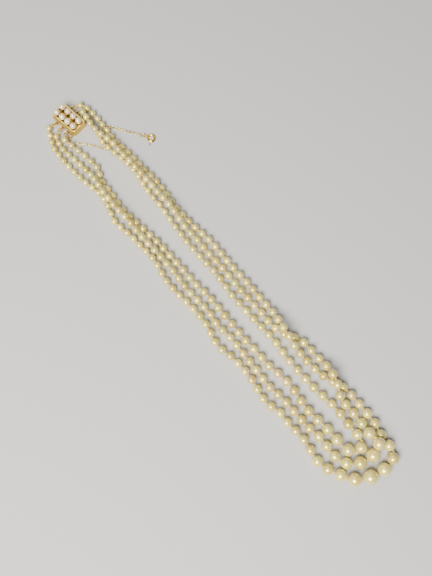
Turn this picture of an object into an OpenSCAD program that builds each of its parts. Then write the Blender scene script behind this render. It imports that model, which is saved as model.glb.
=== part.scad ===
// Three-row graduated pearl necklace with a pearl-set box clasp and a safety chain.
// It lies on a surface as a long narrow loop: +Y runs along the loop towards the clasp, +Z is up.
// Each strand starts at an eye of the clasp's tongue, runs round the front and ends at an eye of its box.

/* [Pearls] */
// Diameter of the middle pearl of the outer strand
outer_centre_d = 7.3; // [6.6:0.1:7.5]
// Diameter of the middle pearl of the middle strand
middle_centre_d = 6.9; // [6.2:0.1:7.0]
// Diameter of the middle pearl of the inner strand
inner_centre_d = 6.2; // [5.6:0.1:6.4]
// Diameter of the pearls beside the few large ones in the middle
shoulder_d = 4.95; // [4.6:0.05:5.1]
// Diameter of the last pearl before the clasp
end_d = 3.55; // [3.2:0.05:3.7]
// Share of half a strand over which the large middle pearls fade out
swell_share = 0.05; // [0.03:0.01:0.07]

/* [Silk] */
// Room that a knot takes between two pearls of the outer strand
outer_gap = 0.62; // [0.5:0.02:0.9]
// Room that a knot takes between two pearls of the middle strand
middle_gap = 0.62; // [0.5:0.02:0.9]
// Room that a knot takes between two pearls of the inner strand, which is strung more loosely
inner_gap = 0.9; // [0.5:0.02:1.1]
// Thickness of the silk
silk_d = 0.4; // [0.3:0.05:0.45]
// Thickness of a knot
knot_d = 0.85; // [0.6:0.05:1]
// Bore through each pearl
drill_d = 0.7; // [0.65:0.05:0.9]

/* [Clasp box] */
// Width of the box, across the tongue's opening
box_w = 9; // [8.8:0.1:10]
// Length of the box, along its two rows of pearls
box_l = 16.6; // [16.4:0.1:18]
// Height of the box up to its rim
box_h = 4.6; // [4.2:0.1:5]
// Thickness of the box's walls
wall = 0.75; // [0.6:0.05:0.8]
// Thickness of the deck that carries the pearls, and of the floor under the tongue
deck = 0.5; // [0.4:0.05:0.6]
// Depth of the well around the pearls
well = 1; // [0.7:0.1:1.3]
// Radius of the box's corners
corner_r = 1.1; // [0.8:0.1:1.4]

/* [Clasp pearls] */
// Diameter of a pearl on the clasp
set_d = 3.4; // [3.2:0.05:3.8]
// Distance between neighbours in a row
set_pitch = 4.05; // [3.95:0.01:4.1]
// Distance between the two rows
row_gap = 4.2; // [4:0.05:4.4]
// Diameter of the peg that holds a pearl
peg_d = 0.7; // [0.5:0.05:0.9]
// Depth of a pearl's bore past its middle, for the peg
bore_past = 0.6; // [0.4:0.1:0.8]
// Diameter of the foot of the cup under a pearl
cup_foot_d = 1.2; // [1:0.1:1.6]
// Diameter of the cup at its rim
cup_d = 2.2; // [1.8:0.1:2.6]
// Height of the cup
cup_h = 0.9; // [0.7:0.1:1.2]
// Thickness of the cup's rim
cup_edge = 0.15; // [0.1:0.05:0.3]

/* [Tongue] */
// Thickness of the tongue's metal
tongue_t = 0.4; // [0.3:0.05:0.5]
// Width of the tongue in its opening
tongue_w = 12; // [10:0.5:12.4]
// Thickness of the end plate
plate_t = 0.6; // [0.5:0.05:0.8]
// Length of the end plate along the box
plate_l = 14.4; // [13:0.2:15]

/* [Eyes and loops] */
// Distance between the eyes along the clasp
eye_pitch = 4.2; // [3.8:0.1:4.6]
// Radius of an eye to the middle of its wire
eye_r = 0.95; // [0.9:0.05:1.1]
// Thickness of an eye's wire
eye_wire = 0.56; // [0.5:0.02:0.6]
// Radius of a strand's end loop to the middle of its wire
loop_r = 0.9; // [0.88:0.02:0.98]
// Thickness of an end loop's wire
loop_wire = 0.68; // [0.56:0.02:0.7]

/* [Safety chain] */
// Thickness of the chain
chain_d = 1.1; // [0.9:0.05:1.2]
// Radius of the ring at the tongue to the middle of its wire
end_ring_r = 0.75; // [0.7:0.05:0.9]
// Radius of the jump ring at the bolt ring to the middle of its wire
jump_r = 1.05; // [1:0.05:1.3]
// Thickness of the wire of both rings
ring_wire = 0.42; // [0.36:0.02:0.46]

/* [Bolt ring] */
// Outside diameter of the bolt ring
bolt_od = 5; // [4.8:0.1:6]
// Thickness of the bolt ring's tube
bolt_tube = 1.3; // [1.1:0.05:1.4]
// Wall of the bolt ring's tube
bolt_wall = 0.18; // [0.15:0.01:0.2]
// Angle of the opening in the ring
bolt_gap = 38; // [30:1:45]
// How far the trigger slides round the ring
bolt_travel = 52; // [50:1:60]
// Length of the trigger's tab outside the ring, with its knob
tab_l = 2; // [1.4:0.1:2.2]
// Thickness of the tab's knob
knob_d = 0.8; // [0.6:0.1:1]

/* [Hidden] */

// Colours
pearl_colour = [0.93, 0.88, 0.76];
silk_colour = [0.9, 0.84, 0.62];
gold_colour = [0.86, 0.69, 0.33];

// Routes of the strands: x, y and the height above lying on the surface, as a share of lift_unit.
// Each runs from the tongue round the front to the box; the number is its middle pearl's row.
outer_mid = 38;
outer_route = [
    [-16.8, 120.7, 0.04], [-18.9, 117.2, 0], [-20.6, 113.5, 0], [-21.9, 109, 0], [-22.3, 103, 0],
    [-22.1, 96, 0], [-21.4, 88, 0], [-20.4, 81.5, 0], [-19.3, 76, 0], [-18.9, 71, 0],
    [-19.6, 66, 0], [-21, 61.3, 0], [-22.3, 56, 0], [-21.8, 51, 0], [-20.8, 45, 0],
    [-20.3, 37, 0], [-19.6, 30, 0], [-20, 23.5, 0], [-21.6, 16, 0], [-21.8, 8, 0], [-20.9, 0, 0],
    [-20.3, -10, 0], [-20.9, -17.5, 0], [-22.5, -23.5, 0], [-22.9, -29, 0], [-21.3, -37, 0],
    [-20.7, -45, 0], [-21.2, -53, 0], [-22.6, -60, 0], [-22.6, -65, 0], [-21, -71, 0],
    [-21.2, -79, 0], [-20.5, -86, 0], [-20.8, -91.5, 0], [-21.9, -97, 0], [-22, -102.5, 0],
    [-19.8, -108, 0], [-14.8, -117, 0], [-8, -121.2, 0], [-1.2, -122.9, 0], [4.9, -122.6, 0],
    [8.6, -118.7, 0], [8.4, -112.9, 0], [10.2, -107.3, 0], [10.9, -101, 0], [11.1, -95, 0],
    [11.2, -89.7, 0], [11.1, -84.4, 0], [9.4, -79.2, 0], [7.4, -74, 0], [6.1, -68, 0],
    [5.5, -61, 0.1], [5.1, -54, 0.8], [6, -48.5, 1.15], [6.8, -43.5, 1.15], [8, -38, 0.67],
    [8.9, -32.5, 0.18], [8.8, -25, 0], [9, -15, 0], [8.8, -6, 0], [8.7, 2, 0], [9, 10, 0],
    [8.8, 17.5, 0], [7.8, 25, 0], [7.1, 33, 0], [6.8, 41, 0], [7.4, 48, 0], [8.2, 56, 0],
    [7.9, 64, 0], [7.4, 71, 0], [7.1, 79, 0], [6.4, 86, 0], [5.8, 92, 0], [6.2, 100, 0],
    [6.5, 109, 0], [6, 116.4, 0], [4.4, 120.6, 0.02]];
middle_mid = 33;
middle_route = [
    [-17.1, 113.6, 0.04], [-18.3, 108, 0], [-18.2, 103, 0], [-17.2, 96, 0], [-16.4, 89, 0.05],
    [-16.1, 83.5, 0.35], [-16.4, 78.5, 0.82], [-17.1, 73, 0.85], [-17.4, 67, 0.82],
    [-17.4, 61, 0.82], [-17.1, 55, 0.84], [-16.9, 49, 0.78], [-16.9, 43, 0.6], [-16.6, 36, 0.44],
    [-16.1, 29, 0.35], [-16, 21, 0.3], [-16, 13, 0.05], [-16.4, 4, 0], [-16, -4, 0], [-15.5, -12, 0],
    [-16.4, -20, 0], [-15.6, -29, 0], [-15.9, -38, 0], [-16, -47, 0], [-16.7, -59, 0],
    [-15.4, -68, 0], [-15.3, -77, 0], [-15, -86, 0], [-13.9, -93, 0], [-14.3, -99, 0],
    [-14.1, -105.2, 0], [-11.4, -110.8, 0], [-6.8, -113.6, 0],
    [-0.3, -114.8, 0], [5, -111.9, 0.97], [4.8, -107.2, 0.79], [5.7, -102.2, 0], [5.9, -97, 0],
    [6.1, -91.7, 0], [5.5, -86.3, 0.6], [7.1, -82.1, 1.05], [9.5, -77.2, 1.18], [10.8, -71.6, 0.72],
    [11.1, -66, 0.05], [10.9, -60.5, 0], [10.8, -55.3, 0], [9.6, -50.4, 0], [6.6, -46, 0],
    [4.9, -40.5, 0], [4.2, -35.5, 0], [4.4, -30, 0], [4.1, -23, 0], [4, -13, 0], [4.2, -4, 0],
    [4.3, 4, 0], [4, 14, 0], [4, 22, 0.15], [3.4, 29, 0.45], [3.8, 35, 0.75], [4.6, 42, 0.88],
    [4.6, 48, 0.85], [4.4, 54, 0.77], [4.4, 61, 0.74], [4.2, 68, 0.87], [4, 75, 0.89],
    [3.5, 82, 0.86], [3.6, 88, 0.84], [2.9, 94, 0.84], [1.5, 99.5, 0.88], [1.2, 105, 0.88],
    [1.6, 110, 0.88], [2.5, 114.3, 0.78]];
inner_mid = 28;
inner_route = [
    [-14.7, 109.3, 0.44], [-14.1, 105.8, 0.26], [-12.9, 100.5, 0.08], [-11.7, 94, 0],
    [-11, 87.5, 0], [-11.5, 83.4, 0], [-13.4, 80.2, 0], [-14.1, 75.5, 0], [-14, 70.5, 0],
    [-14.6, 66, 0], [-15.2, 60, 0], [-14.8, 54, 0], [-14.1, 48, 0], [-13.1, 40, 0], [-12.1, 31, 0],
    [-11.8, 21, 0], [-11.4, 12, 0], [-11.5, 4, 0], [-10.6, -4, 0], [-10.5, -14, 0], [-10.7, -24, 0],
    [-10.8, -34, 0], [-10.3, -43, 0], [-10.2, -51, 0], [-8.8, -60, 0], [-8.7, -68.5, 0],
    [-9.8, -79, 0], [-8.7, -91, 0], [-7.6, -105.5, 0], [-2.2, -108.7, 0], [0.4, -104.4, 0],
    [0.5, -98.7, 0], [0.9, -92, 0], [0.9, -84.5, 0], [-0.3, -76, 0], [-0.8, -66, 0], [-1, -55, 0],
    [-0.3, -47.5, 0], [-0.1, -41, 0], [-0.65, -32, 0], [-1, -21, 0], [-1.2, -12, 0], [-0.4, -4, 0],
    [-0.1, 4, 0], [-0.5, 12, 0], [-0.8, 21, 0], [-0.4, 31, 0], [0.4, 39, 0], [1.1, 47, 0],
    [1.2, 56, 0], [2, 63.5, 0], [3, 70, 0], [2.9, 76, 0], [1.9, 83.5, 0], [0.6, 91, 0],
    [0.2, 95.5, 0], [1.2, 100.5, 0], [1.8, 106, 0], [2.3, 110, 0.02]];
// Route of the safety chain up to the inner strand, on to the outer one and on to the bolt ring: x, y
chain_route = [
    [[-13.4, 107.2], [-12.6, 105], [-10.6, 104.3], [-7.8, 101.8], [-4.9, 98.4]],
    [[3.2, 98]],
    [[9.6, 100], [11.8, 96.9], [14.2, 93.3]]];
// Pearls of the inner and the outer strand that the chain passes beside, counted back from the box
chain_pass = [4, 5];
// Middle of the bolt ring
bolt_at = [21.8, 81.4];

// Height of a crossing of 1 in the routes
lift_unit = (shoulder_d + end_d) / 2;
// Steps of the smooth curve between two points of a route
curve_steps = 8;
// Clearance between pieces that lie or fit close
fit = 0.1;
// Sides of the silk, of the inner strand's beads and of the chain's tube
silk_sides = 5;
tube_sides = 8;
// Thickness of a knot for each unit of room beside it, where pearls lie close
knot_swell = 2.4;
// Rings of a bead of the inner strand: place along the thread and diameter, as shares of its size
bead_rings = [[-0.5, 0], [-0.38, 0.64], [0, 1], [0.38, 0.64], [0.5, 0]];
// Distance between rings along the chain's tube
chain_step = 2.2;

// Clasp's place and its turn about +Z
clasp_at = [-5.6, 117.4, 0];
clasp_turn = 8;
// Room for the tongue inside the box
chamber_h = box_h - well - 2 * deck;
deck_top = box_h - well;
// Heights of the eyes' wire above the surface: the strands' on the clasp, the chain's, the bolt ring's
eye_lift = 0.45;
chain_eye_lift = 0.2;
bolt_eye_lift = 0.02;
// Height of the middle of the strands' eyes
eye_z = eye_r + eye_wire / 2 + eye_lift;
// Distance from a face to the middle of an eye soldered to it
eye_out = eye_r - eye_wire / 2 + fit;
// Small eye for the safety chain
chain_eye_r = 0.6;
chain_eye_wire = 0.4;
chain_eye_out = chain_eye_r - chain_eye_wire / 2 + fit;
chain_eye_z = chain_eye_r + chain_eye_wire / 2 + chain_eye_lift;
// Straight stretch of each end loop, from the tongue's outer strand to the box's inner strand
loop_span = [0.5, 1.6, 1.6, 1.2, 1.2, 1.2];

// Turns +X towards dir, with +Y kept level
module along(dir) {
    rotate([0, -asin(dir.z / norm(dir)), atan2(dir.y, dir.x)]) children();
}

// Sum of a list, and the sums run up along it
function total(list) = list * [for (x = list) 1];
function run_up(list) =
    [for (i = 0, t = list[0]; i < len(list); i = i + 1, t = t + (i < len(list) ? list[i] : 0)) t];
function unit(v) = v / norm(v);
function last(list) = list[len(list) - 1];

// Point at share u between b and c, on a smooth curve that also passes a and d
function bend(a, b, c, d, u) =
    0.5 * (2 * b + (c - a) * u + (2 * a - 5 * b + 4 * c - d) * u * u
           + (3 * b - a - 3 * c + d) * u * u * u);

// Smooth curve through the points of a route
function curve(route) = [
    for (i = [0:len(route) - 2], k = [0:curve_steps - 1])
        bend(route[max(i - 1, 0)], route[i], route[i + 1], route[min(i + 2, len(route) - 1)],
             k / curve_steps),
    last(route)];

// Length run along a line of points
function runs(line) =
    concat([0], run_up([for (i = [1:len(line) - 1]) norm(line[i] - line[i - 1])]));

// Point of a line at length s
function at(line, run, s) =
    [for (k = [0:2]) lookup(s, [for (i = [0:len(line) - 1]) [run[i], line[i][k]]])];

// Diameter of a pearl at share t of the way from the middle pearl to the clasp
function pearl_d(centre_d, t) =
    end_d + (shoulder_d - end_d) * (1 - t) + (centre_d - shoulder_d) * exp(-t / swell_share);

// Number of pearls that fit on half a strand of a length beside its middle pearl
function half_count(length, centre_d, room) =
    round((length - centre_d / 2)
          / ((end_d + shoulder_d) / 2 + (centre_d - shoulder_d) * swell_share + room));

// Pearl sizes of half a strand, and the knot room that fills its length
function half_sizes(length, centre_d, room) =
    let (n = half_count(length, centre_d, room)) [for (k = [1:n]) pearl_d(centre_d, k / n)];
function half_gap(length, centre_d, room) =
    let (d = half_sizes(length, centre_d, room)) (length - centre_d / 2 - total(d)) / (len(d) + 0.5);

// Places of the knots of half a strand, as lengths from its middle
function half_knots(length, centre_d, room) =
    let (gap = half_gap(length, centre_d, room))
    run_up(concat([centre_d / 2 + gap / 2], [for (d = half_sizes(length, centre_d, room)) d + gap]));

function reversed(list) = [for (i = [len(list) - 1:-1:0]) list[i]];

// A strand from its route, the row of its middle pearl, that pearl's size and the room of a knot:
// a list of [centre, direction, diameter] for the pearls
function strand(route, mid, centre_d, room) =
    let (line = curve(route), run = runs(line), middle = run[mid * curve_steps],
         before = middle, after = last(run) - middle,
         knots = concat([for (s = reversed(half_knots(before, centre_d, room))) middle - s],
                        [for (s = half_knots(after, centre_d, room)) middle + s]),
         sizes = concat(reversed(half_sizes(before, centre_d, room)), [centre_d],
                        half_sizes(after, centre_d, room)),
         places = [for (s = knots) at(line, run, s)])
    [for (i = [0:len(sizes) - 1])
        let (m = at(line, run, (knots[i] + knots[i + 1]) / 2))
        [[m.x, m.y, max(m.z, 0) + sizes[i] / 2], unit(places[i + 1] - places[i]), sizes[i]]];

// Eyes of the clasp: strand 0 is the outer one, side -1 the tongue's and 1 the box's
function turned(p) = clasp_at + [p.x * cos(clasp_turn) - p.y * sin(clasp_turn),
                                 p.x * sin(clasp_turn) + p.y * cos(clasp_turn), p.z];
function face_x(side) = side < 0 ? -(box_w / 2 + fit + plate_t) : box_w / 2;
function eye_wire_at(side, strand) =
    turned([face_x(side) + side * (eye_out + eye_r), eye_pitch * (1 - strand), eye_z]);

// End loop: middle of its arc at the eye, its direction and the point where the silk leaves it
function lifted(p, d) = [p.x, p.y, p.z * lift_unit + d / 2];
function loop_dir(side, strand, next) = unit(lifted(next, end_d) - eye_wire_at(side, strand));
function loop_start(side, strand, next) =
    eye_wire_at(side, strand) + loop_dir(side, strand, next) * fit;
function loop_tip(side, strand, next) =
    loop_start(side, strand, next) + loop_dir(side, strand, next)
    * (loop_span[strand + (side < 0 ? 0 : 3)] + loop_r + loop_wire / 2 + fit);

// Route with its heights in millimetres above lying, and its ends at the loops' tips
function strung(route, strand) =
    let (a = loop_tip(-1, strand, route[0]), b = loop_tip(1, strand, last(route)))
    concat([[a.x, a.y, a.z - end_d / 2]],
           [for (p = route) [p.x, p.y, p.z * lift_unit]],
           [[b.x, b.y, b.z - end_d / 2]]);

outer_line = strung(outer_route, 0);
middle_line = strung(middle_route, 1);
inner_line = strung(inner_route, 2);
outer_pearls = strand(outer_line, outer_mid + 1, outer_centre_d, outer_gap);
middle_pearls = strand(middle_line, middle_mid + 1, middle_centre_d, middle_gap);
inner_pearls = strand(inner_line, inner_mid + 1, inner_centre_d, inner_gap);

// Drilled pearls of a strand
module pearls(list) {
    for (p = list)
        translate(p[0]) along(p[1]) rotate([0, 90, 0]) difference() {
            sphere(d = p[2], $fn = 32);
            cylinder(d = drill_d, h = p[2] + 1, center = true, $fn = 16);
        }
}

// Closed tube through the points of a line, with a radius at each
module sweep(line, radii, sides) {
    n = len(line);
    points = [for (i = [0:n - 1])
        let (dir = unit(line[min(i + 1, n - 1)] - line[max(i - 1, 0)]),
             side = unit(cross([0, 0, 1], dir)), up = cross(dir, side))
        for (k = [0:sides - 1])
            line[i] + radii[i] * (sin(360 * k / sides) * side - cos(360 * k / sides) * up)];
    walls = [for (i = [0:n - 2], k = [0:sides - 1])
        let (a = i * sides + k, b = i * sides + (k + 1) % sides)
        [a, a + sides, b + sides, b]];
    polyhedron(points, concat([[for (k = [0:sides - 1]) k]], walls,
                              [[for (k = [sides - 1:-1:0]) (n - 1) * sides + k]]), convexity = 10);
}

// Knotted silk: straight through each bore, with a knot between each two pearls, as thick as the
// room beside it lets it be
module silk(list, start, end) {
    mouths = [for (p = list) let (reach = p[1] * p[2] / 2) [p[0] - reach, p[0] + reach]];
    knots = [for (i = [1:len(list) - 1]) (mouths[i - 1][1] + mouths[i][0]) / 2];
    function room(i) = min([for (p = [list[i], list[i + 1]]) norm(knots[i] - p[0]) - p[2] / 2]);
    line = concat([start, mouths[0][0], mouths[0][1]],
                  [for (i = [1:len(list) - 1]) each [knots[i - 1], mouths[i][0], mouths[i][1]]],
                  [end]);
    widths = concat([silk_d, silk_d, silk_d],
                    [for (i = [0:len(knots) - 1])
                        each [min(knot_d, max(silk_d, room(i) * knot_swell)), silk_d, silk_d]],
                    [silk_d]);
    sweep(line, widths / 2, silk_sides);
}

module pearls_outer() { color(pearl_colour) pearls(outer_pearls); }
module pearls_middle() { color(pearl_colour) pearls(middle_pearls); }
module silk_outer() {
    color(silk_colour) silk(outer_pearls, loop_tip(-1, 0, outer_route[0]),
                            loop_tip(1, 0, last(outer_route)));
}
module silk_middle() {
    color(silk_colour) silk(middle_pearls, loop_tip(-1, 1, middle_route[0]),
                            loop_tip(1, 1, last(middle_route)));
}

// Inner strand in one piece: a few rings about the thread for each pearl, and the thread between
module pearls_inner() {
    line = concat([loop_tip(-1, 2, inner_route[0])],
                  [for (p = inner_pearls, r = bead_rings) p[0] + p[1] * p[2] * r[0]],
                  [loop_tip(1, 2, last(inner_route))]);
    widths = concat([silk_d], [for (p = inner_pearls, r = bead_rings) max(silk_d, p[2] * r[1])],
                    [silk_d]);
    color(pearl_colour) sweep(line, widths / 2, tube_sides);
}

// Ring of round wire in the XY plane
module ring(radius, wire) {
    rotate_extrude($fn = 48) translate([radius, 0]) circle(d = wire, $fn = 24);
}

// Eye soldered upright to a face, with the face at the origin and +X out of it
module eye(radius, wire, out) {
    translate([out, 0, 0]) rotate([90, 0, 0]) ring(radius, wire);
}

// Half an arc of an end loop, open towards +X
module loop_arc() {
    rotate([0, 0, 90]) rotate_extrude(angle = 180, $fn = 48)
        translate([loop_r, 0]) circle(d = loop_wire, $fn = 24);
}

// Long loop of gimp-covered silk through an eye
module end_loop(side, strand, next) {
    span = loop_span[strand + (side < 0 ? 0 : 3)];
    color(gold_colour)
        translate(loop_start(side, strand, next)) along(loop_dir(side, strand, next)) {
            loop_arc();
            translate([span, 0, 0]) rotate([0, 0, 180]) loop_arc();
            for (s = [-1, 1])
                translate([0, s * loop_r, 0]) rotate([0, 90, 0])
                    cylinder(d = loop_wire, h = span, $fn = 24);
        }
}

// Block with round upright corners
module rounded(w, l, h, r) {
    translate([-w / 2, -l / 2 + r, 0]) cube([w, l - 2 * r, h]);
    translate([-w / 2 + r, -l / 2, 0]) cube([w - 2 * r, l, h]);
    for (x = [-1, 1], y = [-1, 1])
        translate([x * (w / 2 - r), y * (l / 2 - r), 0]) cylinder(r = r, h = h, $fn = 32);
}

module on_clasp() { translate(clasp_at) rotate([0, 0, clasp_turn]) children(); }

// Middle of a pearl on the clasp: row 0 or 1, place 0 to 3. The pearl lies in its cup
set_z = deck_top + cup_h + sqrt(pow(set_d / 2 + fit, 2) - pow(cup_d / 2 - cup_edge, 2));
function set_at(row, place) = [(row - 0.5) * row_gap, (place - 1.5) * set_pitch, set_z];

// Cup that widens to the rim, with a peg for a pearl, from half way down in the deck
module cup_and_peg() {
    difference() {
        translate([0, 0, deck_top - deck / 2])
            cylinder(d1 = cup_foot_d, d2 = cup_d, h = deck / 2 + cup_h, $fn = 32);
        translate([0, 0, set_z]) sphere(d = set_d + 2 * fit, $fn = 48);
    }
    translate([0, 0, deck_top - deck / 2])
        cylinder(d = peg_d, h = set_z + bore_past - 2 * fit - deck_top + deck / 2, $fn = 24);
}

module clasp_box() {
    color(gold_colour) on_clasp() {
        difference() {
            rounded(box_w, box_l, box_h, corner_r);
            translate([0, 0, deck_top])
                rounded(box_w - 2 * wall, box_l - 2 * wall, well + 1, corner_r - wall / 2);
            translate([-box_w / 2 - 1, -tongue_w / 2 - fit, deck])
                cube([box_w - wall + 1, tongue_w + 2 * fit, chamber_h]);
        }
        for (row = [0, 1], place = [0:3])
            translate([set_at(row, place).x, set_at(row, place).y, 0]) cup_and_peg();
        for (strand = [0:2])
            translate([box_w / 2, eye_pitch * (1 - strand), eye_z]) eye(eye_r, eye_wire, eye_out);
    }
}

module clasp_tongue() {
    rise = chamber_h - 2 * fit - tongue_t;
    reach = box_w - wall - fit;
    color(gold_colour) on_clasp() {
        translate([-box_w / 2 - fit - plate_t, -plate_l / 2, deck])
            cube([plate_t, plate_l, box_h - well - deck]);
        translate([-box_w / 2 - fit - plate_t, tongue_w / 2, deck + fit]) rotate([90, 0, 0])
            linear_extrude(height = tongue_w) polygon([
                [0, 0], [plate_t + reach, 0], [plate_t + reach, tongue_t * 2],
                [plate_t + wall + 3 * fit, rise + tongue_t], [plate_t + wall + 3 * fit, rise],
                [plate_t + reach - 2 * tongue_t, tongue_t], [0, tongue_t]]);
        for (strand = [0:2])
            translate([-box_w / 2 - fit - plate_t, eye_pitch * (1 - strand), eye_z])
                mirror([1, 0, 0]) eye(eye_r, eye_wire, eye_out);
        translate([-box_w / 2 - fit - plate_t, chain_eye_y, chain_eye_z])
            mirror([1, 0, 0]) eye(chain_eye_r, chain_eye_wire, chain_eye_out);
    }
}

// Pearl on the clasp, drilled half way for its peg
module clasp_pearl(row, place) {
    color(pearl_colour) on_clasp() translate(set_at(row, place)) difference() {
        sphere(d = set_d, $fn = 48);
        translate([0, 0, -set_d]) cylinder(d = peg_d + 2 * fit, h = set_d + bore_past, $fn = 24);
    }
}

// Place of the chain's eye along the plate, and the wire of that eye
chain_eye_y = -(plate_l / 2 - chain_eye_wire);
chain_eye_wire_at = turned([face_x(-1) - chain_eye_out - chain_eye_r, chain_eye_y, chain_eye_z]);
chain_dir = unit(laid(chain_route[0])[0] - chain_eye_wire_at);
chain_ring_at = chain_eye_wire_at + chain_dir * fit;

module chain_end_ring() {
    color(gold_colour) translate(chain_ring_at) along(chain_dir) ring(end_ring_r, ring_wire);
}

// Bolt ring: middle of its tube, and where its eye stands round it
bolt_r = (bolt_od - bolt_tube) / 2;
bolt_z = bolt_tube / 2;
bolt_eye_turn = 122;
// Radius of that eye to the middle of its wire, its height and its distance from the ring's middle
bolt_eye_r = 0.85;
bolt_eye_z = bolt_eye_r + ring_wire / 2 + bolt_eye_lift;
bolt_eye_out = bolt_od / 2 + bolt_eye_r - fit;
function round_bolt(r, turn, z) = [bolt_at.x + r * cos(turn), bolt_at.y + r * sin(turn), z];

// Jump ring through that eye, and the ends of the chain
bolt_eye_wire_at = round_bolt(bolt_eye_out + bolt_eye_r, bolt_eye_turn, bolt_eye_z);
jump_dir = unit(last(laid(chain_route[2])) - bolt_eye_wire_at);
jump_at = bolt_eye_wire_at + jump_dir * (jump_r - ring_wire - fit);
chain_start = chain_ring_at + chain_dir * (end_ring_r + ring_wire / 2 + fit);
chain_finish = jump_at + jump_dir * (jump_r + ring_wire / 2 + fit);

// Chain lying on the surface, and its straight way between two pearls of a strand: pass_half is half
// of that way, as a share of the last pearl's diameter
pass_half = 0.6;
function laid(points) = [for (p = points) [p.x, p.y, chain_d / 2]];
function passed(pearls, back) =
    let (a = pearls[len(pearls) - back][0], b = pearls[len(pearls) - back - 1][0], m = (a + b) / 2,
         across = unit([a.y - b.y, b.x - a.x]) * end_d * pass_half)
    laid([[m.x - across.x, m.y - across.y], m, [m.x + across.x, m.y + across.y]]);

chain_line = curve(concat([chain_start], laid(chain_route[0]), passed(inner_pearls, chain_pass[0]),
                          laid(chain_route[1]), passed(outer_pearls, chain_pass[1]),
                          laid(chain_route[2]), [chain_finish]));

module safety_chain() {
    line = chain_line;
    run = runs(line);
    rings = ceil(last(run) / chain_step);
    color(gold_colour)
        sweep([for (k = [0:rings])
                  let (p = at(line, run, last(run) * k / rings)) [p.x, p.y, max(p.z, chain_d / 2)]],
              [for (k = [0:rings]) chain_d / 2], tube_sides);
}

module jump_ring() {
    color(gold_colour) translate(jump_at) along(jump_dir) ring(jump_r, ring_wire);
}

// Arc of a round bar about the bolt ring's middle, from one angle over another
module bolt_arc(from, over, d) {
    rotate([0, 0, from]) rotate_extrude(angle = over, $fn = 72)
        translate([bolt_r, 0]) circle(d = d, $fn = 24);
}

// Angles round the bolt ring: the opening comes after the eye, and the tab after the opening
eye_to_gap = 30;
gap_to_tab = 28;
gap_from = bolt_eye_turn + eye_to_gap;
tab_turn = gap_from + bolt_gap + gap_to_tab;
// The closed bolt reaches from before the opening to past the tab
bolt_before_gap = 12;
bolt_past_tab = 24;
bolt_from = gap_from - bolt_before_gap;
bolt_over = tab_turn + bolt_past_tab - bolt_from;
// Ease at the bore's start and at both ends of the tab's slot, and room for the spring behind the bolt
bore_ease = 4;
slot_ease = 9;
spring_room = 36;
// Thickness of the bolt and of its tab
bolt_d = bolt_tube - 2 * bolt_wall - fit;
tab_w = 0.5;

module bolt_ring() {
    color(gold_colour) translate([bolt_at.x, bolt_at.y, bolt_z]) {
        difference() {
            ring(bolt_r, bolt_tube);
            bolt_arc(bolt_from - bore_ease, bore_ease + bolt_over + bolt_travel + spring_room,
                     bolt_tube - 2 * bolt_wall);
            rotate([0, 0, gap_from]) rotate_extrude(angle = bolt_gap, $fn = 72)
                translate([bolt_r - bolt_tube, -bolt_tube]) square(2 * bolt_tube);
            rotate([0, 0, tab_turn - slot_ease])
                rotate_extrude(angle = bolt_travel + 2 * slot_ease, $fn = 72)
                    translate([bolt_r, -tab_w / 2 - fit / 2]) square([bolt_tube, tab_w + fit]);
        }
        rotate([0, 0, bolt_eye_turn]) translate([bolt_eye_out, 0, bolt_eye_z - bolt_z])
            rotate([90, 0, 0]) ring(bolt_eye_r, ring_wire);
    }
}

module bolt_trigger() {
    color(gold_colour) translate([bolt_at.x, bolt_at.y, bolt_z]) {
        bolt_arc(bolt_from, bolt_over, bolt_d);
        rotate([0, 0, tab_turn]) translate([bolt_r, 0, 0]) {
            rotate([0, 90, 0]) cylinder(d = tab_w, h = bolt_tube / 2 + tab_l - knob_d / 2, $fn = 24);
            translate([bolt_tube / 2 + tab_l - knob_d / 2, 0, 0]) sphere(d = knob_d, $fn = 32);
        }
    }
}

clasp_box();
clasp_tongue();
clasp_pearl(0, 0);  // clasp_pearl_1
clasp_pearl(0, 1);  // clasp_pearl_2
clasp_pearl(0, 2);  // clasp_pearl_3
clasp_pearl(0, 3);  // clasp_pearl_4
clasp_pearl(1, 0);  // clasp_pearl_5
clasp_pearl(1, 1);  // clasp_pearl_6
clasp_pearl(1, 2);  // clasp_pearl_7
clasp_pearl(1, 3);  // clasp_pearl_8
end_loop(-1, 0, outer_route[0]);  // end_loop_1
end_loop(-1, 1, middle_route[0]);  // end_loop_2
end_loop(-1, 2, inner_route[0]);  // end_loop_3
end_loop(1, 0, last(outer_route));  // end_loop_4
end_loop(1, 1, last(middle_route));  // end_loop_5
end_loop(1, 2, last(inner_route));  // end_loop_6
pearls_outer();
silk_outer();
pearls_middle();
silk_middle();
pearls_inner();
chain_end_ring();
safety_chain();
jump_ring();
bolt_ring();
bolt_trigger();
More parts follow.
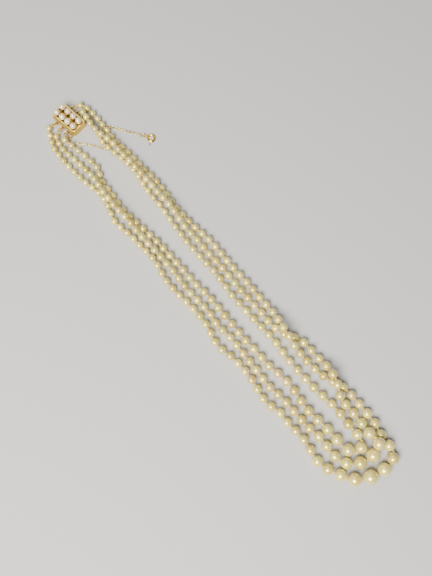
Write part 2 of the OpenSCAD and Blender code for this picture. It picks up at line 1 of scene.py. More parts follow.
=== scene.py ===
import bpy
import numpy as np
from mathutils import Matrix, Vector


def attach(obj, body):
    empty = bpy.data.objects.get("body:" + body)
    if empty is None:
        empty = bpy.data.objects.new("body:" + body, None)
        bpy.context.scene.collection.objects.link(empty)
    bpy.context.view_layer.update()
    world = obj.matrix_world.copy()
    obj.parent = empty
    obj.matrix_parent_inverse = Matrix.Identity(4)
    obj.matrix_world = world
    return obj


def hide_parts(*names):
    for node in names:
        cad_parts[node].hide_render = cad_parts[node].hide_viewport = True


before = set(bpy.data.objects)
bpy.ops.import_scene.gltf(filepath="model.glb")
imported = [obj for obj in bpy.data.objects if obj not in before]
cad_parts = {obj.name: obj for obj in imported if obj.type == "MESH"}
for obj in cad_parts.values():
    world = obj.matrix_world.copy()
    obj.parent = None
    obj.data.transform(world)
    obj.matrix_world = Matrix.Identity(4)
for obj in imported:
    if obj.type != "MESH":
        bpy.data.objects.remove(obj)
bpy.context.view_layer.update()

# The clasp is a shallow box of yellow gold sheet with a raised rim, soldered up, and a folded spring
# tongue that snaps into its open side. Eyes of gold wire for the strands are soldered to both.
# Its soft rim is painted bright as painted highlight and its sides deeper as painted shade, mixed
# with random wear, and its well is painted dark round the pearls as painted shade.

MM = 0.001
clasp_at = np.array([-5.6, 117.4, 0]) * MM
clasp_turn = np.radians(8)
box_w = 9 * MM
box_l = 16.6 * MM
rim_top = 4.6 * MM
well_depth = 1.0 * MM
rim_wall = 0.75 * MM
# Height below the rim's top over which the gold runs from painted shade on the sides to painted highlight
painted_light_band = 0.8 * MM
plate_t = 0.6 * MM
fit = 0.1 * MM
eye_pitch = 4.2 * MM
eye_r = 0.95 * MM
eye_wire = 0.56 * MM
eye_lift = 0.45 * MM
eye_z = eye_r + eye_wire / 2 + eye_lift


def on_clasp(p):
    """Point of the clasp's own axes, turned about +Z and moved to where the clasp lies."""
    c, s = np.cos(clasp_turn), np.sin(clasp_turn)
    return clasp_at + np.array([p[0] * c - p[1] * s, p[0] * s + p[1] * c, p[2]])


def surface_finish(name, colour, metallic, roughness):
    """A material with its shader: what is the same all over sits on the shader's own sockets."""
    material = bpy.data.materials.new(name)
    material.use_nodes = True
    shader = material.node_tree.nodes["Principled BSDF"]
    shader.inputs["Base Color"].default_value = (*colour, 1)
    shader.inputs["Metallic"].default_value = metallic
    shader.inputs["Roughness"].default_value = roughness
    return material, material.node_tree.nodes, material.node_tree.links, shader


def value_node(nodes, links, operation, a, b=None, clamp=False):
    """Math node on one or two sockets or numbers."""
    node = nodes.new("ShaderNodeMath")
    node.operation = operation
    node.use_clamp = clamp
    for k, x in enumerate((a, b)):
        if x is None:
            continue
        if isinstance(x, (int, float)):
            node.inputs[k].default_value = x
        else:
            links.new(x, node.inputs[k])
    return node.outputs[0]


def grain(nodes, links, scale, detail=3.0, roughness=0.5):
    """Noise on Object coordinates, the same for every piece because all lie in one frame."""
    coordinates = nodes.new("ShaderNodeTexCoord")
    noise = nodes.new("ShaderNodeTexNoise")
    noise.inputs["Scale"].default_value = scale
    noise.inputs["Detail"].default_value = detail
    noise.inputs["Roughness"].default_value = roughness
    links.new(coordinates.outputs["Object"], noise.inputs["Vector"])
    return noise.outputs["Fac"]


def ramp(nodes, links, fac, stops):
    """Colours between stops of (position, colour)."""
    node = nodes.new("ShaderNodeValToRGB")
    links.new(fac, node.inputs["Fac"])
    while len(node.color_ramp.elements) < len(stops):
        node.color_ramp.elements.new(0.5)
    for element, (position, colour) in zip(node.color_ramp.elements, stops):
        element.position = position
        element.color = (*colour, 1)
    return node.outputs["Color"]


def dents(nodes, links, shader, height, depth):
    """Small relief from a height socket."""
    bump = nodes.new("ShaderNodeBump")
    bump.inputs["Distance"].default_value = depth
    bump.inputs["Strength"].default_value = 1.0
    links.new(height, bump.inputs["Height"])
    links.new(bump.outputs["Normal"], shader.inputs["Normal"])


# Sockets of a Mix node that blends colours: share, first colour, second colour and result
mix_share, mix_a, mix_b, mix_result = 0, 6, 7, 2

# Clasp gold: the bright colour is painted highlight with wear on the rim, the side colour is painted shade
# down the sides, and the deep colour is painted shade in the well
gold_bright = (0.96, 0.71, 0.16)
gold_mid = (0.84, 0.58, 0.10)
gold_painted_side_shade = (0.54, 0.34, 0.045)
gold_painted_well_shade = (0.34, 0.20, 0.03)


def clasp_gold():
    """Gold with painted light and wear: a painted highlight on the rim, painted shade deeper down the sides
    and painted shade darker towards the bottom of the well. The share of painted light and wear is height
    below the rim's top plus cloudy grain, the grain standing for random wear."""
    material, nodes, links, shader = surface_finish("clasp gold", gold_mid, 1.0, 0.24)
    coordinates = nodes.new("ShaderNodeTexCoord")
    place = nodes.new("ShaderNodeMapping")
    place.vector_type = "TEXTURE"
    place.inputs["Location"].default_value = clasp_at
    place.inputs["Rotation"].default_value = (0, 0, clasp_turn)
    links.new(coordinates.outputs["Object"], place.inputs["Vector"])
    axes = nodes.new("ShaderNodeSeparateXYZ")
    links.new(place.outputs["Vector"], axes.inputs["Vector"])
    # Painted light and wear: height is the share of painted highlight over the band below the rim's top,
    # with painted shade below it, and grain adds random wear
    height = value_node(nodes, links, "DIVIDE",
                        value_node(nodes, links, "SUBTRACT", axes.outputs["Z"], rim_top - painted_light_band),
                        painted_light_band, clamp=True)
    from_height, from_grain = 0.7, 0.6
    painted_light_and_wear_share = value_node(nodes, links, "ADD",
                     value_node(nodes, links, "MULTIPLY", height, from_height),
                     value_node(nodes, links, "MULTIPLY", grain(nodes, links, 420.0), from_grain))
    painted_light_and_wear_colour = ramp(nodes, links, painted_light_and_wear_share, [(0.2, gold_painted_side_shade), (0.45, gold_mid), (0.9, gold_bright)])
    # Painted shade: inside the rim the gold darkens towards the bottom of the well
    off_x = value_node(nodes, links, "ABSOLUTE", axes.outputs["X"])
    off_y = value_node(nodes, links, "ABSOLUTE", axes.outputs["Y"])
    edge = rim_wall * 0.8
    inside = value_node(nodes, links, "MULTIPLY",
                        value_node(nodes, links, "LESS_THAN", off_x, box_w / 2 - edge),
                        value_node(nodes, links, "LESS_THAN", off_y, box_l / 2 - edge))
    depth = value_node(nodes, links, "DIVIDE",
                       value_node(nodes, links, "SUBTRACT", rim_top, axes.outputs["Z"]),
                       well_depth, clamp=True)
    painted_well_shade = value_node(nodes, links, "MULTIPLY", inside, depth)
    blend = nodes.new("ShaderNodeMix")
    blend.data_type = "RGBA"
    links.new(painted_well_shade, blend.inputs[mix_share])
    links.new(painted_light_and_wear_colour, blend.inputs[mix_a])
    blend.inputs[mix_b].default_value = (*gold_painted_well_shade, 1)
    links.new(blend.outputs[mix_result], shader.inputs["Base Color"])
    dents(nodes, links, shader, grain(nodes, links, 900.0, 4.0), 0.05 * MM)
    return material


def give(node, material):
    """Puts a material on every slot of a node of the frame."""
    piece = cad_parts[node]
    if not piece.material_slots:
        piece.data.materials.append(material)
    for held in piece.material_slots:
        held.material = material


clasp_finish = clasp_gold()
give("clasp_box", clasp_finish)
give("clasp_tongue", clasp_finish)


# Each strand ends in a loop of fine gilt wire wound round its silk like a spring, slipped through an
# eye of the clasp. The wire's close turns show as fine ribs across the loop.

loop_r = 0.9 * MM
loop_wire = 0.68 * MM
loop_turn = 0.24 * MM
loop_groove = 0.2
# Straight part of each loop, by side (-1 the tongue's, 1 the box's) and strand
loop_span = {(-1, 0): 0.5 * MM, (-1, 1): 1.6 * MM, (-1, 2): 1.6 * MM,
             (1, 0): 1.2 * MM, (1, 1): 1.2 * MM, (1, 2): 1.2 * MM}
shoulder_d = 4.95 * MM
end_d = 3.55 * MM
lift_unit = (shoulder_d + end_d) / 2

# Routes of the strands from the tongue round the front to the box, in millimetres: x, y and the
# height above lying on the surface as a share of lift_unit. middle_rows are the rows of their middle
# pearls.
outer_route = [
    [-16.8, 120.7, 0.04], [-18.9, 117.2, 0], [-20.6, 113.5, 0], [-21.9, 109, 0], [-22.3, 103, 0],
    [-22.1, 96, 0], [-21.4, 88, 0], [-20.4, 81.5, 0], [-19.3, 76, 0], [-18.9, 71, 0],
    [-19.6, 66, 0], [-21, 61.3, 0], [-22.3, 56, 0], [-21.8, 51, 0], [-20.8, 45, 0],
    [-20.3, 37, 0], [-19.6, 30, 0], [-20, 23.5, 0], [-21.6, 16, 0], [-21.8, 8, 0], [-20.9, 0, 0],
    [-20.3, -10, 0], [-20.9, -17.5, 0], [-22.5, -23.5, 0], [-22.9, -29, 0], [-21.3, -37, 0],
    [-20.7, -45, 0], [-21.2, -53, 0], [-22.6, -60, 0], [-22.6, -65, 0], [-21, -71, 0],
    [-21.2, -79, 0], [-20.5, -86, 0], [-20.8, -91.5, 0], [-21.9, -97, 0], [-22, -102.5, 0],
    [-19.8, -108, 0], [-14.8, -117, 0], [-8, -121.2, 0], [-1.2, -122.9, 0], [4.9, -122.6, 0],
    [8.6, -118.7, 0], [8.4, -112.9, 0], [10.2, -107.3, 0], [10.9, -101, 0], [11.1, -95, 0],
    [11.2, -89.7, 0], [11.1, -84.4, 0], [9.4, -79.2, 0], [7.4, -74, 0], [6.1, -68, 0],
    [5.5, -61, 0.1], [5.1, -54, 0.8], [6, -48.5, 1.15], [6.8, -43.5, 1.15], [8, -38, 0.67],
    [8.9, -32.5, 0.18], [8.8, -25, 0], [9, -15, 0], [8.8, -6, 0], [8.7, 2, 0], [9, 10, 0],
    [8.8, 17.5, 0], [7.8, 25, 0], [7.1, 33, 0], [6.8, 41, 0], [7.4, 48, 0], [8.2, 56, 0],
    [7.9, 64, 0], [7.4, 71, 0], [7.1, 79, 0], [6.4, 86, 0], [5.8, 92, 0], [6.2, 100, 0],
    [6.5, 109, 0], [6, 116.4, 0], [4.4, 120.6, 0.02]]
middle_route = [
    [-17.1, 113.6, 0.04], [-18.3, 108, 0], [-18.2, 103, 0], [-17.2, 96, 0], [-16.4, 89, 0.05],
    [-16.1, 83.5, 0.35], [-16.4, 78.5, 0.82], [-17.1, 73, 0.85], [-17.4, 67, 0.82],
    [-17.4, 61, 0.82], [-17.1, 55, 0.84], [-16.9, 49, 0.78], [-16.9, 43, 0.6], [-16.6, 36, 0.44],
    [-16.1, 29, 0.35], [-16, 21, 0.3], [-16, 13, 0.05], [-16.4, 4, 0], [-16, -4, 0], [-15.5, -12, 0],
    [-16.4, -20, 0], [-15.6, -29, 0], [-15.9, -38, 0], [-16, -47, 0], [-16.7, -59, 0],
    [-15.4, -68, 0], [-15.3, -77, 0], [-15, -86, 0], [-13.9, -93, 0], [-14.3, -99, 0],
    [-14.1, -105.2, 0], [-11.4, -110.8, 0], [-6.8, -113.6, 0],
    [-0.3, -114.8, 0], [5, -111.9, 0.97], [4.8, -107.2, 0.79], [5.7, -102.2, 0], [5.9, -97, 0],
    [6.1, -91.7, 0], [5.5, -86.3, 0.6], [7.1, -82.1, 1.05], [9.5, -77.2, 1.18], [10.8, -71.6, 0.72],
    [11.1, -66, 0.05], [10.9, -60.5, 0], [10.8, -55.3, 0], [9.6, -50.4, 0], [6.6, -46, 0],
    [4.9, -40.5, 0], [4.2, -35.5, 0], [4.4, -30, 0], [4.1, -23, 0], [4, -13, 0], [4.2, -4, 0],
    [4.3, 4, 0], [4, 14, 0], [4, 22, 0.15], [3.4, 29, 0.45], [3.8, 35, 0.75], [4.6, 42, 0.88],
    [4.6, 48, 0.85], [4.4, 54, 0.77], [4.4, 61, 0.74], [4.2, 68, 0.87], [4, 75, 0.89],
    [3.5, 82, 0.86], [3.6, 88, 0.84], [2.9, 94, 0.84], [1.5, 99.5, 0.88], [1.2, 105, 0.88],
    [1.6, 110, 0.88], [2.5, 114.3, 0.78]]
inner_route = [
    [-14.7, 109.3, 0.44], [-14.1, 105.8, 0.26], [-12.9, 100.5, 0.08], [-11.7, 94, 0],
    [-11, 87.5, 0], [-11.5, 83.4, 0], [-13.4, 80.2, 0], [-14.1, 75.5, 0], [-14, 70.5, 0],
    [-14.6, 66, 0], [-15.2, 60, 0], [-14.8, 54, 0], [-14.1, 48, 0], [-13.1, 40, 0], [-12.1, 31, 0],
    [-11.8, 21, 0], [-11.4, 12, 0], [-11.5, 4, 0], [-10.6, -4, 0], [-10.5, -14, 0], [-10.7, -24, 0],
    [-10.8, -34, 0], [-10.3, -43, 0], [-10.2, -51, 0], [-8.8, -60, 0], [-8.7, -68.5, 0],
    [-9.8, -79, 0], [-8.7, -91, 0], [-7.6, -105.5, 0], [-2.2, -108.7, 0], [0.4, -104.4, 0],
    [0.5, -98.7, 0], [0.9, -92, 0], [0.9, -84.5, 0], [-0.3, -76, 0], [-0.8, -66, 0], [-1, -55, 0],
    [-0.3, -47.5, 0], [-0.1, -41, 0], [-0.65, -32, 0], [-1, -21, 0], [-1.2, -12, 0], [-0.4, -4, 0],
    [-0.1, 4, 0], [-0.5, 12, 0], [-0.8, 21, 0], [-0.4, 31, 0], [0.4, 39, 0], [1.1, 47, 0],
    [1.2, 56, 0], [2, 63.5, 0], [3, 70, 0], [2.9, 76, 0], [1.9, 83.5, 0], [0.6, 91, 0],
    [0.2, 95.5, 0], [1.2, 100.5, 0], [1.8, 106, 0], [2.3, 110, 0.02]]
routes = [np.array(route) * [MM, MM, lift_unit] for route in (outer_route, middle_route, inner_route)]
middle_rows = [38, 33, 28]


def unit(v):
    """Vectors of length one in the same directions."""
    return v / np.linalg.norm(v, axis=-1, keepdims=True)


def eye_wire_at(side, strand):
    """Middle of the wire of a strand's eye where its loop hangs: side -1 the tongue's, 1 the box's."""
    face = -(box_w / 2 + fit + plate_t) if side < 0 else box_w / 2
    out = side * (eye_r - eye_wire / 2 + fit + eye_r)
    return on_clasp([face + out, eye_pitch * (1 - strand), eye_z])


def loop_line(side, strand):
    """Start, direction and tip of an end loop: it hangs on its eye and points to the route's end."""
    following = routes[strand][0 if side < 0 else -1]
    hang = eye_wire_at(side, strand)
    direction = unit(following + [0, 0, end_d / 2] - hang)
    start = hang + direction * fit
    tip = start + direction * (loop_span[side, strand] + loop_r + loop_wire / 2 + fit)
    return start, direction, tip


def across(direction):
    """Level and upright directions across a line."""
    level = unit(np.cross([0, 0, 1.0], direction))
    return level, np.cross(direction, level)


def tube_faces(rings, sides, closed):
    """Four-sided faces between neighbouring rings of a tube, round to the first ring if closed."""
    ring = np.arange(rings if closed else rings - 1)[:, None]
    side = np.arange(sides)[None, :]
    after = (ring + 1) % rings
    beside = (side + 1) % sides
    corners = [ring * sides + side, ring * sides + beside, after * sides + beside, after * sides + side]
    return np.stack(corners, axis=-1).reshape(-1, 4)


def end_faces(rings, sides):
    """The two closing faces of an open tube."""
    first = np.arange(sides)[::-1]
    return np.stack([first, (rings - 1) * sides + np.arange(sides)])


def repeated(faces, count, stride):
    """The same faces for each of count shapes whose points lie stride apart."""
    return (faces[None] + (np.arange(count) * stride)[:, None, None]).reshape(-1, faces.shape[1])


def smooth_piece(name, points, *face_lists):
    """Mesh object from an array of points and arrays of faces, shaded smooth."""
    mesh = bpy.data.meshes.new(name)
    faces = [f for faces in face_lists for f in faces.tolist()]
    mesh.from_pydata(points.reshape(-1, 3).tolist(), [], faces)
    mesh.polygons.foreach_set("use_smooth", np.ones(len(faces), dtype=bool))
    mesh.update()
    piece = bpy.data.objects.new(name, mesh)
    bpy.context.scene.collection.objects.link(piece)
    return piece


def stadium(count, radius, span):
    """Closed outline of two half circles joined by straights, in even steps: x along it, y across."""
    arc = np.pi * radius
    s = np.arange(count) / count * 2 * (arc + span)
    on_far = (s >= arc + span) & (s < 2 * arc + span)
    on_near = s < arc
    back = (s >= arc) & (s < arc + span)
    angle = np.where(on_near, np.pi / 2 + s / radius, -np.pi / 2 + (s - arc - span) / radius)
    x = np.where(on_near, radius * np.cos(angle),
                 np.where(back, s - arc, np.where(on_far, span + radius * np.cos(angle),
                                                  span - (s - 2 * arc - span))))
    y = np.where(on_near | on_far, radius * np.sin(angle), np.where(back, -radius, radius))
    return np.stack([x, y], axis=-1)


def closed_tube(centres, normal, radius):
    """Closed tube round a flat closed line: radius is an array over its rings and sides."""
    sides = radius.shape[1]
    tangent = unit(np.roll(centres, -1, axis=0) - np.roll(centres, 1, axis=0))
    outward = np.cross(tangent, normal)
    turn = np.arange(sides) / sides * 2 * np.pi
    return (centres[:, None] + radius[..., None]
            * (np.cos(turn)[None, :, None] * outward[:, None]
               + np.sin(turn)[None, :, None] * normal))


def gilt_wire():
    """Fine gilt wire, duller than the clasp and brown in places."""
    material, nodes, links, shader = surface_finish("gilt wire", (0.78, 0.56, 0.13), 1.0, 0.34)
    colour = ramp(nodes, links, grain(nodes, links, 700.0),
                  [(0.35, (0.56, 0.37, 0.06)), (0.65, (0.90, 0.69, 0.18))])
    links.new(colour, shader.inputs["Base Color"])
    return material


gilt_finish = gilt_wire()
loop_sides = 8
loop_rings_a_turn = 4
for number, (side, strand) in enumerate(loop_span, start=1):
    start, direction, tip = loop_line(side, strand)
    level, up = across(direction)
    turns = round((2 * np.pi * loop_r + 2 * loop_span[side, strand]) / loop_turn)
    outline = stadium(turns * loop_rings_a_turn, loop_r, loop_span[side, strand])
    centres = start + outline[:, :1] * direction + outline[:, 1:] * level
    ring = np.arange(len(centres))[:, None] / loop_rings_a_turn
    angle = np.arange(loop_sides)[None, :] / loop_sides
    ribs = 1 - loop_groove * (0.5 - 0.5 * np.cos(2 * np.pi * (ring - angle)))
    points = closed_tube(centres, up, loop_wire / 2 * ribs)
    loop = smooth_piece(f"bullion_loop_{number}", points, tube_faces(len(centres), loop_sides, True))
    loop.data.materials.append(gilt_finish)
    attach(loop, "necklace")
    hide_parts(f"end_loop_{number}")


# The pearls are cultured ones, round, cream to champagne, graded from small ones at the clasp to a few
# large ones in front. Each is drilled through and strung on silk; no two have quite the same overtone.

outer_centre_d = 7.3 * MM
middle_centre_d = 6.9 * MM
inner_centre_d = 6.2 * MM
centre_sizes = [outer_centre_d, middle_centre_d, inner_centre_d]
swell_share = 0.05
knot_rooms = [0.62 * MM, 0.62 * MM, 0.9 * MM]
drill_d = 0.7 * MM
curve_steps = 8
draws = np.random.default_rng(7)


def smooth_line(route):
    """Smooth curve through a route's points: between b and c, with neighbours a and d, the point at
    share u is half of 2b + (c - a)u + (2a - 5b + 4c - d)u^2 + (3b - a - 3c + d)u^3."""
    a = np.vstack([route[:1], route[:-2]])[:, None]
    b = route[:-1][:, None]
    c = route[1:][:, None]
    d = np.vstack([route[2:], route[-1:]])[:, None]
    u = (np.arange(curve_steps) / curve_steps)[None, :, None]
    line = 0.5 * (2 * b + (c - a) * u + (2 * a - 5 * b + 4 * c - d) * u ** 2
                  + (3 * b - a - 3 * c + d) * u ** 3)
    return np.vstack([line.reshape(-1, 3), route[-1:]])


def lengths(line):
    """Length run along a line up to each of its points."""
    return np.concatenate([[0], np.cumsum(np.linalg.norm(np.diff(line, axis=0), axis=1))])


def at(line, run, s):
    """Points of a line at lengths s."""
    return np.stack([np.interp(s, run, line[:, k]) for k in range(3)], axis=-1)


def half_strand(length, centre_d, room):
    """Pearl sizes and knots' places of half a strand, counted from its middle: the sizes fall evenly
    to the clasp, after a few large ones that fade out, and the knots share the length that is left."""
    mean = (end_d + shoulder_d) / 2 + (centre_d - shoulder_d) * swell_share + room
    count = int(np.floor((length - centre_d / 2) / mean + 0.5))
    share = np.arange(1, count + 1) / count
    sizes = (end_d + (shoulder_d - end_d) * (1 - share)
             + (centre_d - shoulder_d) * np.exp(-share / swell_share))
    gap = (length - centre_d / 2 - sizes.sum()) / (count + 0.5)
    return sizes, centre_d / 2 + gap / 2 + np.concatenate([[0], np.cumsum(sizes + gap)])


def strand_of(strand):
    """Centres, directions and diameters of a strand's pearls, from the tongue round to the box."""
    first = loop_line(-1, strand)[2] - [0, 0, end_d / 2]
    final = loop_line(1, strand)[2] - [0, 0, end_d / 2]
    line = smooth_line(np.vstack([[first], routes[strand], [final]]))
    run = lengths(line)
    middle = run[(middle_rows[strand] + 1) * curve_steps]
    sizes_before, knots_before = half_strand(middle, centre_sizes[strand], knot_rooms[strand])
    sizes_after, knots_after = half_strand(run[-1] - middle, centre_sizes[strand], knot_rooms[strand])
    knots = np.concatenate([middle - knots_before[::-1], middle + knots_after])
    sizes = np.concatenate([sizes_before[::-1], [centre_sizes[strand]], sizes_after])
    centres = at(line, run, (knots[1:] + knots[:-1]) / 2)
    centres[:, 2] = np.maximum(centres[:, 2], 0) + sizes / 2
    return centres, unit(np.diff(at(line, run, knots), axis=0)), sizes


def pearl_shapes(centres, directions, sizes, sides, steps):
    """Each pearl is its profile turned round its thread: a dimple at the drill hole, its rim, and even
    steps over the ball to the other rim. Grown pearls aren't quite round: the radius dips by up to twice
    most_swell, twice a turn. The source's balls are faceted, so shrink keeps these inside their box."""
    shrink, hole_depth, hole_share, most_swell = 0.993, 0.8, 0.45, 0.008
    radius = (sizes / 2 * shrink)[:, None]
    rim = np.arcsin(drill_d / 2 / radius)
    angle = rim + (np.pi - 2 * rim) * np.arange(steps)[None, :] / (steps - 1)
    along = np.concatenate([-hole_depth * radius, -radius * np.cos(angle), hole_depth * radius], axis=1)
    hole = np.full_like(radius, drill_d * hole_share)
    out = np.concatenate([hole, radius * np.sin(angle), hole], axis=1)
    turn = np.arange(sides) / sides * 2 * np.pi
    level, up = across(directions)
    swell = draws.uniform(0.0, most_swell, len(sizes))[:, None, None]
    phase = draws.uniform(0, 2 * np.pi, len(sizes))[:, None, None]
    uneven = 1 - swell * (1 + np.cos(2 * turn[None, None, :] + phase))
    round_it = (np.cos(turn)[:, None] * level[:, None, None, :]
                + np.sin(turn)[:, None] * up[:, None, None, :])
    points = (centres[:, None, None, :] + along[:, :, None, None] * directions[:, None, None, :]
              + (out[:, :, None] * uneven)[..., None] * round_it)
    rings = steps + 2
    faces = repeated(tube_faces(rings, sides, False), len(sizes), rings * sides)
    ends = repeated(end_faces(rings, sides), len(sizes), rings * sides)
    return points, faces, ends


cream = np.array([0.92, 0.82, 0.27])
champagne = np.array([0.74, 0.59, 0.13])
rose = np.array([0.94, 0.71, 0.33])
green_cream = np.array([0.81, 0.80, 0.24])


def overtones(count):
    """A colour for each pearl: mostly cream, with some champagne, rosy and greenish ones, some duller."""
    weights = [1.2, 0.6, 0.35, 0.35]
    dullest, brightest = 0.84, 1.04
    share = draws.dirichlet(weights, count)
    colours = share @ np.stack([cream, champagne, rose, green_cream])
    return colours * draws.uniform(dullest, brightest, (count, 1))


def tint(piece, colours):
    """Writes one colour for each point of a mesh."""
    layer = piece.data.color_attributes.new(name="overtone", type="FLOAT_COLOR", domain="POINT")
    layer.data.foreach_set("color", np.column_stack([colours, np.ones(len(colours))]).ravel())


def nacre(name, colour, roughness):
    """Pearl of one colour: a soft, faintly metallic body with a thin film, a clear coat and some sheen."""
    material, nodes, links, shader = surface_finish(name, colour, 0.0, roughness)
    shader.inputs["IOR"].default_value = 1.7
    shader.inputs["Metallic"].default_value = 0.3
    shader.inputs["Thin Film Thickness"].default_value = 420
    shader.inputs["Thin Film IOR"].default_value = 1.4
    shader.inputs["Coat Weight"].default_value = 1.0
    shader.inputs["Coat Roughness"].default_value = 0.1
    shader.inputs["Coat IOR"].default_value = 1.75
    shader.inputs["Coat Tint"].default_value = (1.0, 0.97, 0.9, 1)
    shader.inputs["Sheen Weight"].default_value = 0.06
    shader.inputs["Sheen Roughness"].default_value = 0.4
    shader.inputs["Sheen Tint"].default_value = (1.0, 0.9, 0.75, 1)
    shader.inputs["Subsurface Weight"].default_value = 0.25
    shader.inputs["Subsurface Radius"].default_value = (1.0, 0.7, 0.4)
    shader.inputs["Subsurface Scale"].default_value = 0.5 * MM
    return material, nodes, links, shader


def strand_nacre():
    """The strung pearls' nacre: each pearl's overtone times its clouds."""
    material, nodes, links, shader = nacre("strand pearl", tuple(cream), 0.27)
    own = nodes.new("ShaderNodeVertexColor")
    own.layer_name = "overtone"
    clouds = ramp(nodes, links, grain(nodes, links, 520.0, 2.0),
                  [(0.3, (0.86, 0.82, 0.68)), (0.7, (1, 1, 1))])
    blend = nodes.new("ShaderNodeMix")
    blend.data_type = "RGBA"
    blend.blend_type = "MULTIPLY"
    blend.inputs[mix_share].default_value = 1.0
    links.new(own.outputs["Color"], blend.inputs[mix_a])
    links.new(clouds, blend.inputs[mix_b])
    links.new(blend.outputs[mix_result], shader.inputs["Base Color"])
    dents(nodes, links, shader, grain(nodes, links, 480.0, 2.0), 0.06 * MM)
    return material


pearl_finish = strand_nacre()
strands = [strand_of(strand) for strand in range(3)]
strand_names = ["outer", "middle", "inner"]
large_from = 5 * MM
for strand, name in enumerate(strand_names):
    centres, directions, sizes = strands[strand]
    colours = overtones(len(sizes))
    points, face_lists, tints = np.zeros((0, 3)), [], []
    # The few large pearls in front get a finer grid than the many small ones
    for pick, sides, steps in ((sizes > large_from, 28, 16), (sizes <= large_from, 12, 8)):
        grid, faces, ends = pearl_shapes(centres[pick], directions[pick], sizes[pick], sides, steps)
        face_lists += [faces + len(points), ends + len(points)]
        points = np.vstack([points, grid.reshape(-1, 3)])
        tints.append(np.repeat(colours[pick], grid.shape[1] * grid.shape[2], axis=0))
    pearls = smooth_piece(f"strung_pearls_{name}", points, *face_lists)
    tint(pearls, np.vstack(tints))
    pearls.data.materials.append(pearl_finish)
    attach(pearls, "necklace")
    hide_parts(f"pearls_{name}")


# The strands are strung on doubled pale yellow silk with a knot pulled tight between each two pearls,
# and a last knot at each end where the silk comes out of its gilt loop.

silk_d = 0.4 * MM
knot_d = 1.05 * MM


def knot_shapes(starts, finishes):
    """Each knot is a thread along a short line that swells in its middle, with the ridges of its twisted
    silk winding round it: the radius is the profile times one plus a wave that turns along the line."""
    sides = 8
    ridge, twist = 0.13, 9
    share = np.array([0, 0.2, 0.34, 0.5, 0.66, 0.8, 1])
    neck, shoulder = silk_d * 1.4, knot_d * 0.93
    profile = np.array([silk_d, neck, shoulder, knot_d, shoulder, neck, silk_d]) / 2
    turn = np.arange(sides) / sides * 2 * np.pi
    phase = draws.uniform(0, 2 * np.pi, len(starts))[:, None, None]
    ridges = 1 + ridge * np.cos(2 * turn[None, None, :] + twist * share[None, :, None] + phase)
    directions = unit(finishes - starts)
    level, up = across(directions)
    round_it = (np.cos(turn)[:, None] * level[:, None, None, :]
                + np.sin(turn)[:, None] * up[:, None, None, :])
    middle = starts[:, None] + share[None, :, None] * (finishes - starts)[:, None]
    points = middle[:, :, None] + (profile[None, :, None] * ridges)[..., None] * round_it
    faces = repeated(tube_faces(len(share), sides, False), len(starts), len(share) * sides)
    ends = repeated(end_faces(len(share), sides), len(starts), len(share) * sides)
    return points, faces, ends


def silk():
    """Twisted silk, darker in places at random."""
    material, nodes, links, shader = surface_finish("silk", (0.70, 0.50, 0.11), 0.0, 0.6)
    colour = ramp(nodes, links, grain(nodes, links, 1500.0),
                  [(0.3, (0.52, 0.35, 0.06)), (0.7, (0.84, 0.62, 0.15))])
    links.new(colour, shader.inputs["Base Color"])
    shader.inputs["Sheen Weight"].default_value = 0.06
    shader.inputs["Sheen Tint"].default_value = (1.0, 0.85, 0.5, 1)
    return material


silk_finish = silk()
in_bore = 0.25 * MM
for strand, name in enumerate(strand_names):
    centres, directions, sizes = strands[strand]
    reach = directions * (sizes[:, None] / 2 - in_bore)
    first, final = loop_line(-1, strand), loop_line(1, strand)
    starts = np.vstack([first[2] - first[1] * loop_wire, centres + reach])
    finishes = np.vstack([centres - reach, final[2] - final[1] * loop_wire])
    knots = smooth_piece(f"silk_knots_{name}", *knot_shapes(starts, finishes))
    knots.data.materials.append(silk_finish)
    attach(knots, "necklace")
    if name != "inner":
        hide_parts(f"silk_{name}")


# Eight whiter pearls sit on the clasp in two rows of four, each glued on a peg that stands in a cup.
# They keep their CAD shapes and get a nacre of their own.

set_colour = (0.90, 0.77, 0.53)


def clasp_nacre():
    """The clasp pearls' nacre: whiter, with wide faint clouds."""
    material, nodes, links, shader = nacre("clasp pearl", set_colour, 0.24)
    colour = ramp(nodes, links, grain(nodes, links, 300.0, 2.0),
                  [(0.35, (0.84, 0.69, 0.43)), (0.5, set_colour), (0.65, (0.94, 0.84, 0.62))])
    links.new(colour, shader.inputs["Base Color"])
    return material


set_finish = clasp_nacre()
for number in range(1, 9):
    give(f"clasp_pearl_{number}", set_finish)


# The safety chain is a fine cable chain of oval gold links, each turned a quarter from the last. It
# hangs in a small eye of the tongue and ends in a jump ring and a bolt ring with a sliding trigger.

chain_d = 1.1 * MM
chain_route = [np.array(part) * MM for part in (
    [[-13.4, 107.2], [-12.6, 105], [-10.6, 104.3], [-7.8, 101.8], [-4.9, 98.4]],
    [[3.2, 98]],
    [[9.6, 100], [11.8, 96.9], [14.2, 93.3]])]
chain_pass = [4, 5]
plate_l = 14.4 * MM
chain_eye_r = 0.6 * MM
chain_eye_wire = 0.4 * MM
chain_eye_lift = 0.2 * MM
end_ring_r = 0.75 * MM
jump_r = 1.05 * MM
ring_wire = 0.42 * MM
bolt_at = np.array([21.8, 81.4]) * MM
bolt_od = 5 * MM
bolt_eye_turn = np.radians(122)
bolt_eye_r = 0.85 * MM
bolt_eye_lift = 0.02 * MM
pass_half = 0.6
link_l = 1.6 * MM
link_w = 1.08 * MM
link_wire = 0.32 * MM


def laid(points):
    """Points on the surface, raised to the middle of the chain."""
    return np.column_stack([points, np.full(len(points), chain_d / 2)])


def passed(strand, back):
    """Straight way of the chain between two pearls of a strand, counted back from the box."""
    a, b = strands[strand][0][-back], strands[strand][0][-back - 1]
    middle = (a + b)[:2] / 2
    way = unit(np.array([a[1] - b[1], b[0] - a[0]])) * end_d * pass_half
    return laid(np.array([middle - way, middle, middle + way]))


